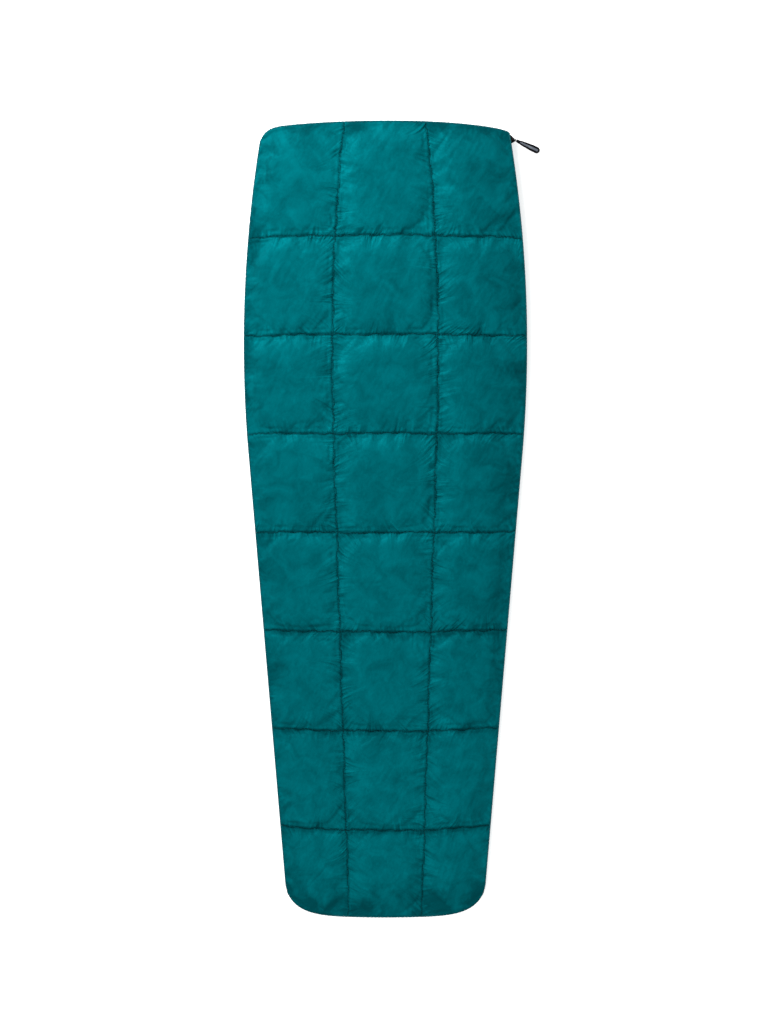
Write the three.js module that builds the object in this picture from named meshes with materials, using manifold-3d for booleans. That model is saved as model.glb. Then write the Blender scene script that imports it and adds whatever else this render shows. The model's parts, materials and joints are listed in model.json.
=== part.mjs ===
// A box-quilted, tapered down travel quilt, zipped up into a bag and lying flat on its back.
// Millimetres. +X is the sleeper's left (the zipped side), +Y runs to the head, +Z is up.
// The origin is on the ground, under the middle of the fifth row of chambers from the foot.

import * as THREE from "three";
import { mergeVertices } from "three/addons/utils/BufferGeometryUtils.js";
import Module from "manifold-3d";

// Outline, seen from above
const LENGTH = 1980;
const FOOT_Y = -1082; // tip of the foot edge
const HEAD_Y = FOOT_Y + LENGTH;
const HALF_WIDTH = 351.4; // at the shoulders
const SHOULDER_Y = 343.3;
const SIDE_RADIUS = 3204; // the sides' bow above the straight taper
const TAPER = THREE.MathUtils.degToRad(4.9);
// The rounded ends. Each edge draws back from its tip by crown * t^power + rise * (1 - sqrt(1 - t^sharp)),
// where t runs from 0 on the centre line to 1 where the edge meets the side, at x = reach.
const FOOT_EDGE = { reach: 248.7, crown: 10, power: 2, rise: 82, sharp: 6 };
const HEAD_LEFT_EDGE = { reach: 318.5, crown: 19, power: 2, rise: 78, sharp: 18 };
const HEAD_RIGHT_EDGE = { reach: 308.7, crown: 24, power: 2.4, rise: 7, sharp: 14 };

// Quilting: three columns by eight rows of down chambers in each half
const COLUMNS = 3;
const ROWS = 8;
const FIRST_ROW_LENGTH = 216; // the foot row, on the centre line
const ROW_PITCH = 246.7;
const SEAM_SHARE = 0.375; // the two long seams run at this share of the half width
const HEAD_DRAW = 12; // and draw together by this much at the head
const SEAM_BOW = [12, -8]; // how far the cross seams' ends rise, at the foot and at the head

// Heights are measured from the plane where the two halves meet, outwards: up in the upper half, down in the lower
const MID_Z = 26;
const CREST = 26; // outer face of the shell, in the middle of a chamber
const LINING_CREST = 4;
const RIM = 5.3; // inner face of the lining, at the outline
const SEAM = 9; // and at the sewn-through seams
const PINCH = 1.4; // shell and lining together, where they are sewn
const SKIN = 0.5;
const GAP = 0.35;
const PAD_INSET = 0.07; // share of a chamber's side that the down stays clear of its seams
const EDGE_STEPS = [0, 0.12, 0.4, 0.7];
const INNER_STEPS = [0, 1 / 3, 2 / 3];

// Zip: two tapes with a coil each, round the right side, the corner and the foot
const ZIP_TOP_Y = 862;
const ZIP_END_X = -170;
const ZIP_STEP = 50;
const TAPE = { inner: -1, outer: -0.4, low: 1.2, high: 4.9 };
const COIL = { inner: -0.1, outer: 1.3, low: 0.6, high: 2.3 };
const SEAM_STRIP = { inner: -1, outer: -0.4, low: -4.7, high: 4.7 };
const STRIP_CLEARANCE = 2;

// Slider and pull
const SLIDER_Y = 854;
const SLIDER_LENGTH = 12;
const SLIDER_HALF_HEIGHT = 4.5;
const SLIDER_REAR_HALF_HEIGHT = 3.2;
const PLATE_THICKNESS = 0.8;
const OUTER_PLATE_X = 1.7;
const INNER_PLATE_X = -2.2;
const BLADE_HALF_THICKNESS = 0.3;
const BAIL = { outX: 6.6, halfLength: 3.8, bar: 1, halfThickness: 0.9 };
const PULL_PIN_X = 4.4; // the link's near bar, in the bail's eye
const PULL_YAW = THREE.MathUtils.degToRad(-23);
const PULL_DROOP = THREE.MathUtils.degToRad(17.4);
const PULL_REACH = 79;
const LINK = { length: 12, halfHeight: 4.2, wire: 1.2 };
const TAB = { start: 8, eyeStart: 9.8, eyeEnd: 13, neckHalfWidth: 3.2, eyeHalfWidth: 1.4, halfWidth: 8.2 };
const TAB_NECK_THICKNESS = 1.8;
const TAB_THICKNESS = 3.2;
const TAB_BODY_START = 15;
const TAB_SHOULDER = { x: 30, halfWidth: 5.8 };
const TAB_WIDEST = 58; // where the tab reaches its full width

const teal = { color: 0x046a72, roughness: 0.5, metalness: 0 };
const finishes = {
  shell: new THREE.MeshStandardMaterial(teal),
  lining: new THREE.MeshStandardMaterial({ color: 0x2c3e44, roughness: 0.6, metalness: 0 }),
  down: new THREE.MeshStandardMaterial({ color: 0xe9e6df, roughness: 0.95, metalness: 0 }),
  tape: new THREE.MeshStandardMaterial({ color: 0x083b40, roughness: 0.8, metalness: 0 }),
  coil: new THREE.MeshStandardMaterial({ color: 0x15181a, roughness: 0.4, metalness: 0 }),
  slider: new THREE.MeshStandardMaterial({ color: 0x101214, roughness: 0.35, metalness: 0.6 }),
  pull: new THREE.MeshStandardMaterial({ color: 0x14151a, roughness: 0.55, metalness: 0 }),
};

const wasm = await Module();
wasm.setup();

const lerp = THREE.MathUtils.lerp;
const group = new THREE.Group();

// ---- outline and quilting lines ----

/** Half the quilt's width at y, with its corners left square. */
function sideX(y) {
  const tangentY = SHOULDER_Y - SIDE_RADIUS * Math.sin(TAPER);
  if (y >= tangentY) {
    return HALF_WIDTH - SIDE_RADIUS + Math.sqrt(SIDE_RADIUS ** 2 - (y - SHOULDER_Y) ** 2);
  }
  const tangentX = HALF_WIDTH - SIDE_RADIUS * (1 - Math.cos(TAPER));
  return tangentX - (tangentY - y) * Math.tan(TAPER);
}

/** How far a rounded end has drawn back from its tip at x. */
function drawBack(edge, x) {
  const t = Math.min(1, Math.abs(x) / edge.reach);
  return edge.crown * t ** edge.power + edge.rise * (1 - Math.sqrt(1 - t ** edge.sharp));
}

function footEdgeY(x) {
  return FOOT_Y + drawBack(FOOT_EDGE, x);
}

function headEdgeY(x) {
  return HEAD_Y - drawBack(x < 0 ? HEAD_LEFT_EDGE : HEAD_RIGHT_EDGE, x);
}

function longSeamX(y) {
  const towardsHead = Math.max(0, (y - SHOULDER_Y) / (HEAD_Y - SHOULDER_Y));
  return SEAM_SHARE * sideX(y) - HEAD_DRAW * towardsHead ** 2;
}

/** x at u columns from the left side, at height y: the chambers' sides are at whole numbers. */
function columnX(u, y) {
  const lines = [-sideX(y), -longSeamX(y), longSeamX(y), sideX(y)];
  const column = Math.min(Math.floor(u), COLUMNS - 1);
  return lerp(lines[column], lines[column + 1], u - column);
}

/** y of a rounded end at u, where the end's own curve and the column's x agree. */
function endY(edgeY, start, u) {
  let y = start;
  for (let pass = 0; pass < 6; pass += 1) y = edgeY(columnX(u, y));
  return y;
}

/** y of cross line number row at u: 0 is the foot edge, ROWS the head edge, and those between are seams. */
function lineY(row, u) {
  if (row === 0) return endY(footEdgeY, FOOT_Y, u);
  if (row === ROWS) return endY(headEdgeY, HEAD_Y, u);
  const y = FOOT_Y + FIRST_ROW_LENGTH + ROW_PITCH * (row - 1);
  const bow = lerp(...SEAM_BOW, (row - 1) / (ROWS - 2));
  return y + bow * (columnX(u, y) / sideX(y)) ** 2;
}

// ---- the grid that the skins and the down share ----

/** Grid lines across count chambers, closer together beside the outline. */
function gridLines(count) {
  const lines = EDGE_STEPS.slice();
  for (let k = 1; k < count - 1; k += 1) lines.push(...INNER_STEPS.map((s) => k + s));
  lines.push(count - 1, ...EDGE_STEPS.map((s) => count - s).reverse());
  return lines;
}

const gridU = gridLines(COLUMNS);
const gridV = gridLines(ROWS);

/** How far the fabric puffs at a place across a chamber: 0 at its seams, 1 over its middle third. */
function puff(s) {
  const t = s - Math.floor(s);
  return Math.min(1, Math.sin(Math.PI * t) / Math.sin(Math.PI / 3)) ** 0.7;
}

function gridNode(u, v) {
  const row = Math.min(Math.floor(v), ROWS - 1);
  const y = lerp(lineY(row, u), lineY(row + 1, u), v - row);
  const inland = Math.sqrt(Math.min(1, u, COLUMNS - u, v, ROWS - v));
  const pinch = lerp(RIM, SEAM, inland);
  const swell = puff(u) * puff(v);
  return {
    x: columnX(u, y),
    y,
    inner: lerp(pinch, LINING_CREST, swell),
    outer: lerp(pinch + PINCH, CREST, swell),
  };
}

const grid = gridU.map((u) => gridV.map((v) => gridNode(u, v)));

/** The grid's interval that holds a value, as its first line and how far along it the value is. */
function locate(lines, value) {
  let k = 0;
  while (k < lines.length - 2 && lines[k + 1] <= value) k += 1;
  return [k, (value - lines[k]) / (lines[k + 1] - lines[k])];
}

/** The grid's place and heights at any u and v, on the flat facets between its lines. */
function gridAt(u, v) {
  const [i, s] = locate(gridU, u);
  const [j, t] = locate(gridV, v);
  const mix = (key) =>
    lerp(lerp(grid[i][j][key], grid[i + 1][j][key], s), lerp(grid[i][j + 1][key], grid[i + 1][j + 1][key], s), t);
  return { x: mix("x"), y: mix("y"), inner: mix("inner"), outer: mix("outer") };
}

// ---- closed solids ----

function addMesh(name, geometry, material, parent = group) {
  const mesh = new THREE.Mesh(geometry, material);
  mesh.name = name;
  parent.add(mesh);
  return mesh;
}

/** A geometry from corner points and faces of three or four of them, wound to face out. */
function solidGeometry(points, faces) {
  const triangles = faces.flatMap((f) => (f.length === 4 ? [f[0], f[1], f[2], f[0], f[2], f[3]] : f));
  const geometry = new THREE.BufferGeometry();
  geometry.setAttribute("position", new THREE.Float32BufferAttribute(points.flat(), 3));
  geometry.setIndex(triangles);
  geometry.computeVertexNormals();
  return geometry;
}

/**
 * A quilted layer between two heights over the grid, in the half on the side (+1 upper, -1 lower).
 * low and high give the layer's heights at a grid place.
 */
function layerGeometry(us, vs, side, low, high) {
  const points = [];
  for (const height of side > 0 ? [low, high] : [high, low]) {
    for (const u of us) {
      for (const v of vs) {
        const place = gridAt(u, v);
        points.push([place.x, place.y, MID_Z + side * height(place)]);
      }
    }
  }
  const [nu, nv] = [us.length, vs.length];
  const at = (face, i, j) => (face * nu + i) * nv + j;
  const faces = [];
  for (let i = 0; i < nu - 1; i += 1) {
    for (let j = 0; j < nv - 1; j += 1) {
      const corners = [[i, j], [i + 1, j], [i + 1, j + 1], [i, j + 1]];
      // the facets' diagonals climb from each chamber's corners to its middle
      const towards = (us[i] + us[i + 1]) / 2 % 1 - 0.5;
      const along = (vs[j] + vs[j + 1]) / 2 % 1 - 0.5;
      if (towards * along < 0) corners.push(corners.shift());
      faces.push(corners.map(([a, b]) => at(1, a, b)));
      faces.push([0, 3, 2, 1].map((k) => at(0, ...corners[k])));
    }
  }
  for (let i = 0; i < nu - 1; i += 1) {
    faces.push([at(0, i, 0), at(0, i + 1, 0), at(1, i + 1, 0), at(1, i, 0)]);
    faces.push([at(0, i + 1, nv - 1), at(0, i, nv - 1), at(1, i, nv - 1), at(1, i + 1, nv - 1)]);
  }
  for (let j = 0; j < nv - 1; j += 1) {
    faces.push([at(0, 0, j + 1), at(0, 0, j), at(1, 0, j), at(1, 0, j + 1)]);
    faces.push([at(0, nu - 1, j), at(0, nu - 1, j + 1), at(1, nu - 1, j + 1), at(1, nu - 1, j)]);
  }
  return solidGeometry(points, faces);
}

/** A flat band on edge: a section given by its offsets from the path and its heights, carried along the path. */
function bandGeometry(path, section, side = 1) {
  const [bottom, top] = side > 0 ? [section.low, section.high] : [-section.high, -section.low];
  const points = [];
  path.forEach((point, k) => {
    const before = path[Math.max(0, k - 1)];
    const after = path[Math.min(path.length - 1, k + 1)];
    const along = after.clone().sub(before).normalize();
    const out = new THREE.Vector2(along.y, -along.x).multiplyScalar(path.turn);
    for (const [offset, height] of [
      [section.inner, bottom],
      [section.outer, bottom],
      [section.outer, top],
      [section.inner, top],
    ]) {
      points.push([point.x + out.x * offset, point.y + out.y * offset, MID_Z + height]);
    }
  });
  const flip = (face) => (path.turn > 0 ? face : face.slice().reverse());
  const faces = [flip([0, 1, 2, 3]), flip([3, 2, 1, 0].map((k) => k + 4 * (path.length - 1)))];
  for (let k = 0; k < path.length - 1; k += 1) {
    for (let corner = 0; corner < 4; corner += 1) {
      const next = (corner + 1) % 4;
      faces.push(flip([4 * k + next, 4 * k + corner, 4 * k + 4 + corner, 4 * k + 4 + next]));
    }
  }
  return solidGeometry(points, faces);
}

function toManifold(geometry) {
  const bare = geometry.clone();
  bare.deleteAttribute("normal");
  bare.deleteAttribute("uv");
  const merged = mergeVertices(bare, 1e-4);
  return new wasm.Manifold(
    new wasm.Mesh({
      numProp: 3,
      vertProperties: new Float32Array(merged.attributes.position.array),
      triVerts: new Uint32Array(merged.index.array),
    }),
  );
}

/** One geometry that joins several closed ones. */
function joined(...geometries) {
  const mesh = geometries.map(toManifold).reduce((sum, next) => sum.add(next)).getMesh();
  const geometry = new THREE.BufferGeometry();
  geometry.setAttribute("position", new THREE.BufferAttribute(mesh.vertProperties, 3));
  geometry.setIndex(new THREE.BufferAttribute(mesh.triVerts, 1));
  geometry.computeVertexNormals();
  return geometry;
}

function boxBetween([x0, y0, z0], [x1, y1, z1]) {
  const geometry = new THREE.BoxGeometry(x1 - x0, y1 - y0, z1 - z0);
  return geometry.translate((x0 + x1) / 2, (y0 + y1) / 2, (z0 + z1) / 2);
}

/** A shape in the plane of X and Y, made into a plate that is thick both ways about z = 0. */
function plate(shape, thickness, curveSegments = 6) {
  const geometry = new THREE.ExtrudeGeometry(shape, { depth: thickness, bevelEnabled: false, curveSegments });
  return geometry.translate(0, 0, -thickness / 2);
}

function polygon(points) {
  return new THREE.Shape(points.map(([x, y]) => new THREE.Vector2(x, y)));
}

// ---- the two quilted halves ----

function addSkins(half, side) {
  const lining = layerGeometry(gridU, gridV, side, (p) => p.inner, (p) => p.inner + SKIN);
  const shell = layerGeometry(gridU, gridV, side, (p) => p.outer - SKIN, (p) => p.outer);
  addMesh(`${half}_lining`, lining, finishes.lining);
  addMesh(`${half}_shell`, shell, finishes.shell);
}

/** The grid lines inside one chamber, with the down's own edges in place of the seams. */
function chamberLines(lines, first) {
  const inside = lines.filter((value) => value > first + PAD_INSET && value < first + 1 - PAD_INSET);
  return [first + PAD_INSET, ...inside, first + 1 - PAD_INSET];
}

function addDown(half, side) {
  for (let row = 0; row < ROWS; row += 1) {
    for (let column = 0; column < COLUMNS; column += 1) {
      const fill = layerGeometry(
        chamberLines(gridU, column),
        chamberLines(gridV, row),
        side,
        (p) => p.inner + SKIN + GAP,
        (p) => p.outer - SKIN - GAP,
      );
      addMesh(`${half}_down_r${row + 1}c${column + 1}`, fill, finishes.down);
    }
  }
}

// ---- the joined edges: a sewn strip on the left, the zip on the right and round the foot ----

/** Points down one side of the outline, from a y near the head to the foot corner. turn is +1 where out is left of the way. */
function sidePath(topY, side) {
  const cornerY = FOOT_Y + FOOT_EDGE.crown + FOOT_EDGE.rise;
  const steps = Math.ceil((topY - cornerY) / ZIP_STEP);
  const points = [];
  for (let k = 0; k <= steps; k += 1) {
    const y = lerp(topY, cornerY, k / steps);
    points.push(new THREE.Vector2(side * sideX(y), y));
  }
  return points;
}

/** Points on the foot edge from its corner at the side to the x given, closest together round the corner. */
function footPath(endX, side) {
  const steps = 14;
  const points = [];
  for (let k = 1; k <= steps; k += 1) {
    const x = lerp(side * FOOT_EDGE.reach, endX, (k / steps) ** 2);
    points.push(new THREE.Vector2(x, footEdgeY(x)));
  }
  return points;
}

function addZipAndStrip() {
  const zip = [...sidePath(ZIP_TOP_Y, 1), ...footPath(ZIP_END_X, 1)];
  zip.turn = -1;
  for (const [half, side] of [["upper", 1], ["lower", -1]]) {
    addMesh(`${half}_zip_tape`, bandGeometry(zip, TAPE, side), finishes.tape);
    addMesh(`${half}_zip_coil`, bandGeometry(zip, COIL, side), finishes.coil);
  }
  const leftTop = HEAD_Y - HEAD_LEFT_EDGE.crown - HEAD_LEFT_EDGE.rise;
  const strip = [...sidePath(leftTop, -1), ...footPath(ZIP_END_X - STRIP_CLEARANCE, -1)];
  strip.turn = 1;
  addMesh("left_seam_strip", bandGeometry(strip, SEAM_STRIP), finishes.tape);
}

// ---- slider and pull ----

/** A slider plate, standing on edge between x and x + PLATE_THICKNESS: wide at its mouth, narrower behind. */
function sliderPlate(x) {
  const half = SLIDER_LENGTH / 2;
  const shape = polygon([
    [-half, -SLIDER_REAR_HALF_HEIGHT],
    [half - 2, -SLIDER_HALF_HEIGHT],
    [half, -SLIDER_HALF_HEIGHT + 1.5],
    [half, SLIDER_HALF_HEIGHT - 1.5],
    [half - 2, SLIDER_HALF_HEIGHT],
    [-half, SLIDER_REAR_HALF_HEIGHT],
  ]);
  // the shape's X runs along the zip and its Y up, so it is turned to stand across the slider's X
  const turned = new THREE.Matrix4().makeBasis(
    new THREE.Vector3(0, 1, 0),
    new THREE.Vector3(0, 0, 1),
    new THREE.Vector3(1, 0, 0),
  );
  return plate(shape, PLATE_THICKNESS).applyMatrix4(turned).translate(x + PLATE_THICKNESS / 2, 0, 0);
}

function bailGeometry() {
  const { outX, halfLength, bar, halfThickness } = BAIL;
  const plateX = OUTER_PLATE_X + PLATE_THICKNESS / 2;
  const shape = polygon([
    [plateX, -halfLength],
    [outX - bar, -halfLength],
    [outX, -halfLength + bar],
    [outX, halfLength - bar],
    [outX - bar, halfLength],
    [plateX, halfLength],
  ]);
  const eyeX = OUTER_PLATE_X + PLATE_THICKNESS + 0.7;
  const eye = [
    [eyeX, -halfLength + bar],
    [eyeX, halfLength - bar],
    [outX - bar, halfLength - bar],
    [outX - bar, -halfLength + bar],
  ];
  shape.holes.push(new THREE.Path(eye.map(([x, y]) => new THREE.Vector2(x, y))));
  return plate(shape, 2 * halfThickness);
}

/** A flat oblong ring, lying in the plane of X and Z, with its near bar centred on x = 0. */
function linkGeometry() {
  const { length, halfHeight, wire } = LINK;
  const outline = (inset) => {
    const [x0, x1, z1] = [-wire / 2 + inset, length - inset, halfHeight - inset];
    const cut = 1.6 - inset / 2;
    return [
      [x0, -z1 + cut],
      [x0 + cut, -z1],
      [x1 - cut, -z1],
      [x1, -z1 + cut],
      [x1, z1 - cut],
      [x1 - cut, z1],
      [x0 + cut, z1],
      [x0, z1 - cut],
    ];
  };
  const shape = polygon(outline(0));
  shape.holes.push(new THREE.Path(outline(wire).map(([x, y]) => new THREE.Vector2(x, y))));
  return plate(shape, wire).rotateX(Math.PI / 2);
}

/** The tab's outline from a start x to its round far end. */
function tabShape(startX) {
  const centreX = PULL_REACH - TAB.halfWidth;
  const shape = new THREE.Shape();
  shape.moveTo(startX, -TAB.neckHalfWidth);
  shape.lineTo(TAB.eyeEnd + 4, -TAB.neckHalfWidth);
  shape.lineTo(TAB_SHOULDER.x, -TAB_SHOULDER.halfWidth);
  shape.lineTo(TAB_WIDEST, -TAB.halfWidth);
  shape.lineTo(centreX, -TAB.halfWidth);
  shape.absarc(centreX, 0, TAB.halfWidth, -Math.PI / 2, Math.PI / 2, false);
  shape.lineTo(TAB_WIDEST, TAB.halfWidth);
  shape.lineTo(TAB_SHOULDER.x, TAB_SHOULDER.halfWidth);
  shape.lineTo(TAB.eyeEnd + 4, TAB.neckHalfWidth);
  shape.lineTo(startX, TAB.neckHalfWidth);
  return shape;
}

function tabGeometry() {
  const neck = tabShape(TAB.start);
  const eye = [
    [TAB.eyeStart, -TAB.eyeHalfWidth],
    [TAB.eyeStart, TAB.eyeHalfWidth],
    [TAB.eyeEnd, TAB.eyeHalfWidth],
    [TAB.eyeEnd, -TAB.eyeHalfWidth],
  ];
  neck.holes.push(new THREE.Path(eye.map(([x, y]) => new THREE.Vector2(x, y))));
  return joined(plate(neck, TAB_NECK_THICKNESS), plate(tabShape(TAB_BODY_START), TAB_THICKNESS));
}

function addSliderAndPull() {
  const slider = new THREE.Group();
  slider.position.set(sideX(SLIDER_Y), SLIDER_Y, MID_Z);
  slider.rotation.z = Math.asin((SLIDER_Y - SHOULDER_Y) / SIDE_RADIUS);
  group.add(slider);
  const blade = boxBetween(
    [INNER_PLATE_X + PLATE_THICKNESS / 2, SLIDER_LENGTH / 2 - 3, -BLADE_HALF_THICKNESS],
    [OUTER_PLATE_X + PLATE_THICKNESS / 2, SLIDER_LENGTH / 2 - 0.5, BLADE_HALF_THICKNESS],
  );
  const body = joined(sliderPlate(OUTER_PLATE_X), sliderPlate(INNER_PLATE_X), blade, bailGeometry());
  addMesh("zip_slider_body", body, finishes.slider, slider);

  const swing = new THREE.Group();
  swing.position.set(PULL_PIN_X, 0, 0);
  swing.rotation.z = PULL_YAW - slider.rotation.z;
  slider.add(swing);
  const droop = new THREE.Group();
  droop.rotation.y = PULL_DROOP;
  swing.add(droop);
  addMesh("zip_pull_link", linkGeometry(), finishes.slider, droop);
  addMesh("zip_pull_tab", tabGeometry(), finishes.pull, droop);
}

for (const [half, side] of [["upper", 1], ["lower", -1]]) {
  addSkins(half, side);
  addDown(half, side);
}
addZipAndStrip();
addSliderAndPull();

export default group;
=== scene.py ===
"""A box-quilted down travel quilt, zipped up and lying flat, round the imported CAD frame. Metres, +Z up."""

import json
import math

import bmesh
import bpy
import numpy as np
from mathutils import Matrix, Vector


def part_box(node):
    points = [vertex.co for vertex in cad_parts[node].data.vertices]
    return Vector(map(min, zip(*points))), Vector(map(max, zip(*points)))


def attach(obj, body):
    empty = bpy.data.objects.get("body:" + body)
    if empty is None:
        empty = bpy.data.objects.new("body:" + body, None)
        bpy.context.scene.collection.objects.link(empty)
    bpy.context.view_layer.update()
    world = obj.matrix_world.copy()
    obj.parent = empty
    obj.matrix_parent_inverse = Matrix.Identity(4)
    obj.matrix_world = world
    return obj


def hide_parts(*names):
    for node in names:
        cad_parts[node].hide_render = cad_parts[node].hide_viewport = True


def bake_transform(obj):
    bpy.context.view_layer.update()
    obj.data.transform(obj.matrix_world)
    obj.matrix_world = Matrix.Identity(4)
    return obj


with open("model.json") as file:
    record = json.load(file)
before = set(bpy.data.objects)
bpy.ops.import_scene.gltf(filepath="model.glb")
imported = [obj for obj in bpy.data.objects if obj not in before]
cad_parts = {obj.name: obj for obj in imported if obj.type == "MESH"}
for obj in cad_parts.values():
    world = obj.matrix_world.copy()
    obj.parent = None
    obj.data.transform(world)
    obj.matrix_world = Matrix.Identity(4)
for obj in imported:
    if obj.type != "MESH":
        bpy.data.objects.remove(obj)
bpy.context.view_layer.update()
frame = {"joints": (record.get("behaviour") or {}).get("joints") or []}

MM = 0.001

# Outline, seen from above: the same curves as the frame's shells
LENGTH = 1.980
FOOT_Y = -1.082
HEAD_Y = FOOT_Y + LENGTH
HALF_WIDTH = 0.3514
SHOULDER_Y = 0.3433
SIDE_RADIUS = 3.204
TAPER = math.radians(4.9)
FOOT_EDGE = dict(reach=0.2487, crown=0.010, power=2, rise=0.082, sharp=6)
HEAD_LEFT_EDGE = dict(reach=0.3185, crown=0.019, power=2, rise=0.078, sharp=18)
HEAD_RIGHT_EDGE = dict(reach=0.3087, crown=0.024, power=2.4, rise=0.007, sharp=14)
COLUMNS, ROWS = 3, 8
FIRST_ROW_LENGTH = 0.216
ROW_PITCH = 0.2467
SEAM_SHARE = 0.375
HEAD_DRAW = 0.012
SEAM_BOW = (0.012, -0.008)

# Heights, outwards from the plane where the halves meet
MID_Z = (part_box("upper_shell")[1].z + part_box("lower_shell")[0].z) / 2
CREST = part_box("upper_shell")[1].z - MID_Z
RIM_INNER, RIM_OUTER = 5.3 * MM, 6.7 * MM
SEAM_INNER, SEAM_OUTER = 9.0 * MM, 10.4 * MM
LINING_CREST = 4.2 * MM

# Zip, slider and pull, at the frame's places
ZIP_TOP_Y = 0.862
ZIP_END_X = -0.170
COIL_PITCH = 2.0 * MM
SLIDER_Y = 0.854
SLIDER_LENGTH = 12 * MM
PULL_PIN_X = 4.4 * MM
PULL_YAW = math.radians(-23)
PULL_DROOP = math.radians(17.4)
PULL_REACH = 79 * MM
LINK_LENGTH = 12 * MM
TAB_WIDEST = 58 * MM
TAB_HALF_WIDTH = 8.2 * MM
TAB_SHOULDER, TAB_SHOULDER_HALF_WIDTH = 30 * MM, 5.8 * MM
TAB_NECK, TAB_NECK_HALF_WIDTH = 17 * MM, 3.8 * MM
TAB_START = 13.4 * MM
TAB_RIM = 4.6 * MM
TAB_INSET_SHARE = 0.36
WIRE_RADIUS = 0.6 * MM

# Fine grid: simulated cells across and along one chamber, then halved once
CELLS_U, CELLS_V = 38, 42
SIM_FRAMES = 24
PUFF_HEIGHT = 9 * MM  # of the cloth, before the simulation
SEAM_SHADE = 3.4 * MM
GROOVE_DEPTH = 0.6 * MM
LEAST_LOFT = 0.6 * MM  # between shell and lining
DOWN_CLEARANCE = 0.8 * MM
DOWN_THINNEST = 0.6 * MM

# Stitching and binding
STITCH_LENGTH, STITCH_RADIUS, STITCH_PITCH = 3.2 * MM, 0.32 * MM, 4.2 * MM
THREAD_PROUD = 0.15 * MM
BINDING_HALF_WIDTH, BINDING_HALF_HEIGHT = 2.1 * MM, 1.25 * MM
BINDING_SET_IN = 0.9 * MM
HINGE_CLEARANCE = 0.05 * MM

# Seeds of the random draws
SEAM_SEED, FABRIC_SEED, BINDING_SEED = 100, 11, 31

HALVES = (("upper", 1), ("lower", -1))

# The line the halves open about, and the level direction from it away from the quilt
HINGE = next(joint for joint in frame["joints"] if joint["name"] == "fold_open")
HINGE_PLACE = np.array(HINGE["pos_m"])
HINGE_OUT = np.array([HINGE["axis"][1], -HINGE["axis"][0], 0])


# ---- outline and quilting lines ----


def waves(values, rng, parts):
    """A smooth wobble along one coordinate: a sum of sines given as (length, size) pairs."""
    turn = 2 * math.pi
    return sum(size * np.sin(turn * values / length + rng.uniform(0, turn)) for length, size in parts)


def side_x(y):
    """Half the quilt's width at y, with its corners left square."""
    tangent_y = SHOULDER_Y - SIDE_RADIUS * math.sin(TAPER)
    tangent_x = HALF_WIDTH - SIDE_RADIUS * (1 - math.cos(TAPER))
    bowed = HALF_WIDTH - SIDE_RADIUS + np.sqrt(SIDE_RADIUS**2 - (y - SHOULDER_Y) ** 2)
    return np.where(y >= tangent_y, bowed, tangent_x - (tangent_y - y) * math.tan(TAPER))


def draw_back(edge, x):
    """How far a rounded end has drawn back from its tip at x."""
    t = np.minimum(1, np.abs(x) / edge["reach"])
    rounding = 1 - np.sqrt(np.maximum(0, 1 - t ** edge["sharp"]))
    return edge["crown"] * t ** edge["power"] + edge["rise"] * rounding


def foot_edge_y(x):
    return FOOT_Y + draw_back(FOOT_EDGE, x)


def head_edge_y(x):
    return HEAD_Y - np.where(x < 0, draw_back(HEAD_LEFT_EDGE, x), draw_back(HEAD_RIGHT_EDGE, x))


def wander(along, seam):
    """How far a hand-guided seam strays from its line."""
    return waves(along, np.random.RandomState(seam), ((0.27, 0.9 * MM), (0.11, 0.7 * MM), (0.045, 0.5 * MM)))


def long_seam_x(y, sign=1):
    towards_head = np.maximum(0, (y - SHOULDER_Y) / (HEAD_Y - SHOULDER_Y))
    return sign * (SEAM_SHARE * side_x(y) - HEAD_DRAW * towards_head**2) + wander(y, SEAM_SEED + sign)


def column_x(u, y):
    """x at u columns from the left side, at height y."""
    lines = [-side_x(y), long_seam_x(y, -1), long_seam_x(y), side_x(y)]
    column = np.minimum(np.floor(u), COLUMNS - 1).astype(int)
    low, high = np.choose(column, lines), np.choose(column + 1, lines)
    return low + (high - low) * (u - column)


def line_y(row, u):
    """y of a cross line at u: 0 is the foot edge, ROWS the head edge, and those between are seams."""
    if 0 < row < ROWS:
        y = np.full_like(u, FOOT_Y + FIRST_ROW_LENGTH + ROW_PITCH * (row - 1))
        bow = SEAM_BOW[0] + (SEAM_BOW[1] - SEAM_BOW[0]) * (row - 1) / (ROWS - 2)
        return y + bow * (column_x(u, y) / side_x(y)) ** 2 + wander(column_x(u, y), row)
    edge_y = foot_edge_y if row == 0 else head_edge_y
    y = np.full_like(u, FOOT_Y if row == 0 else HEAD_Y)
    for _ in range(8):
        y = edge_y(column_x(u, y))
    return y


def place(u, v):
    """Plan position of grid places, as x and y."""
    row = np.minimum(np.floor(v), ROWS - 1).astype(int)
    y = np.zeros_like(u)
    for r in range(ROWS):
        here = row == r
        low, high = line_y(r, u[here]), line_y(r + 1, u[here])
        y[here] = low + (high - low) * (v[here] - r)
    return column_x(u, y), y


def inland(u, v):
    """0 on the outline, rising to 1 a chamber's width inside it."""
    return np.sqrt(np.minimum.reduce([np.ones_like(u), u, COLUMNS - u, v, ROWS - v]))


# ---- mesh helpers ----


def new_piece(name, vertices, faces, material, smooth=True):
    mesh = bpy.data.meshes.new(name)
    mesh.from_pydata(np.asarray(vertices, float).tolist(), [], [list(map(int, f)) for f in faces])
    mesh.update()
    mesh.shade_smooth() if smooth else mesh.shade_flat()
    mesh.materials.append(material)
    piece = bpy.data.objects.new(name, mesh)
    bpy.context.collection.objects.link(piece)
    return piece


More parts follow.
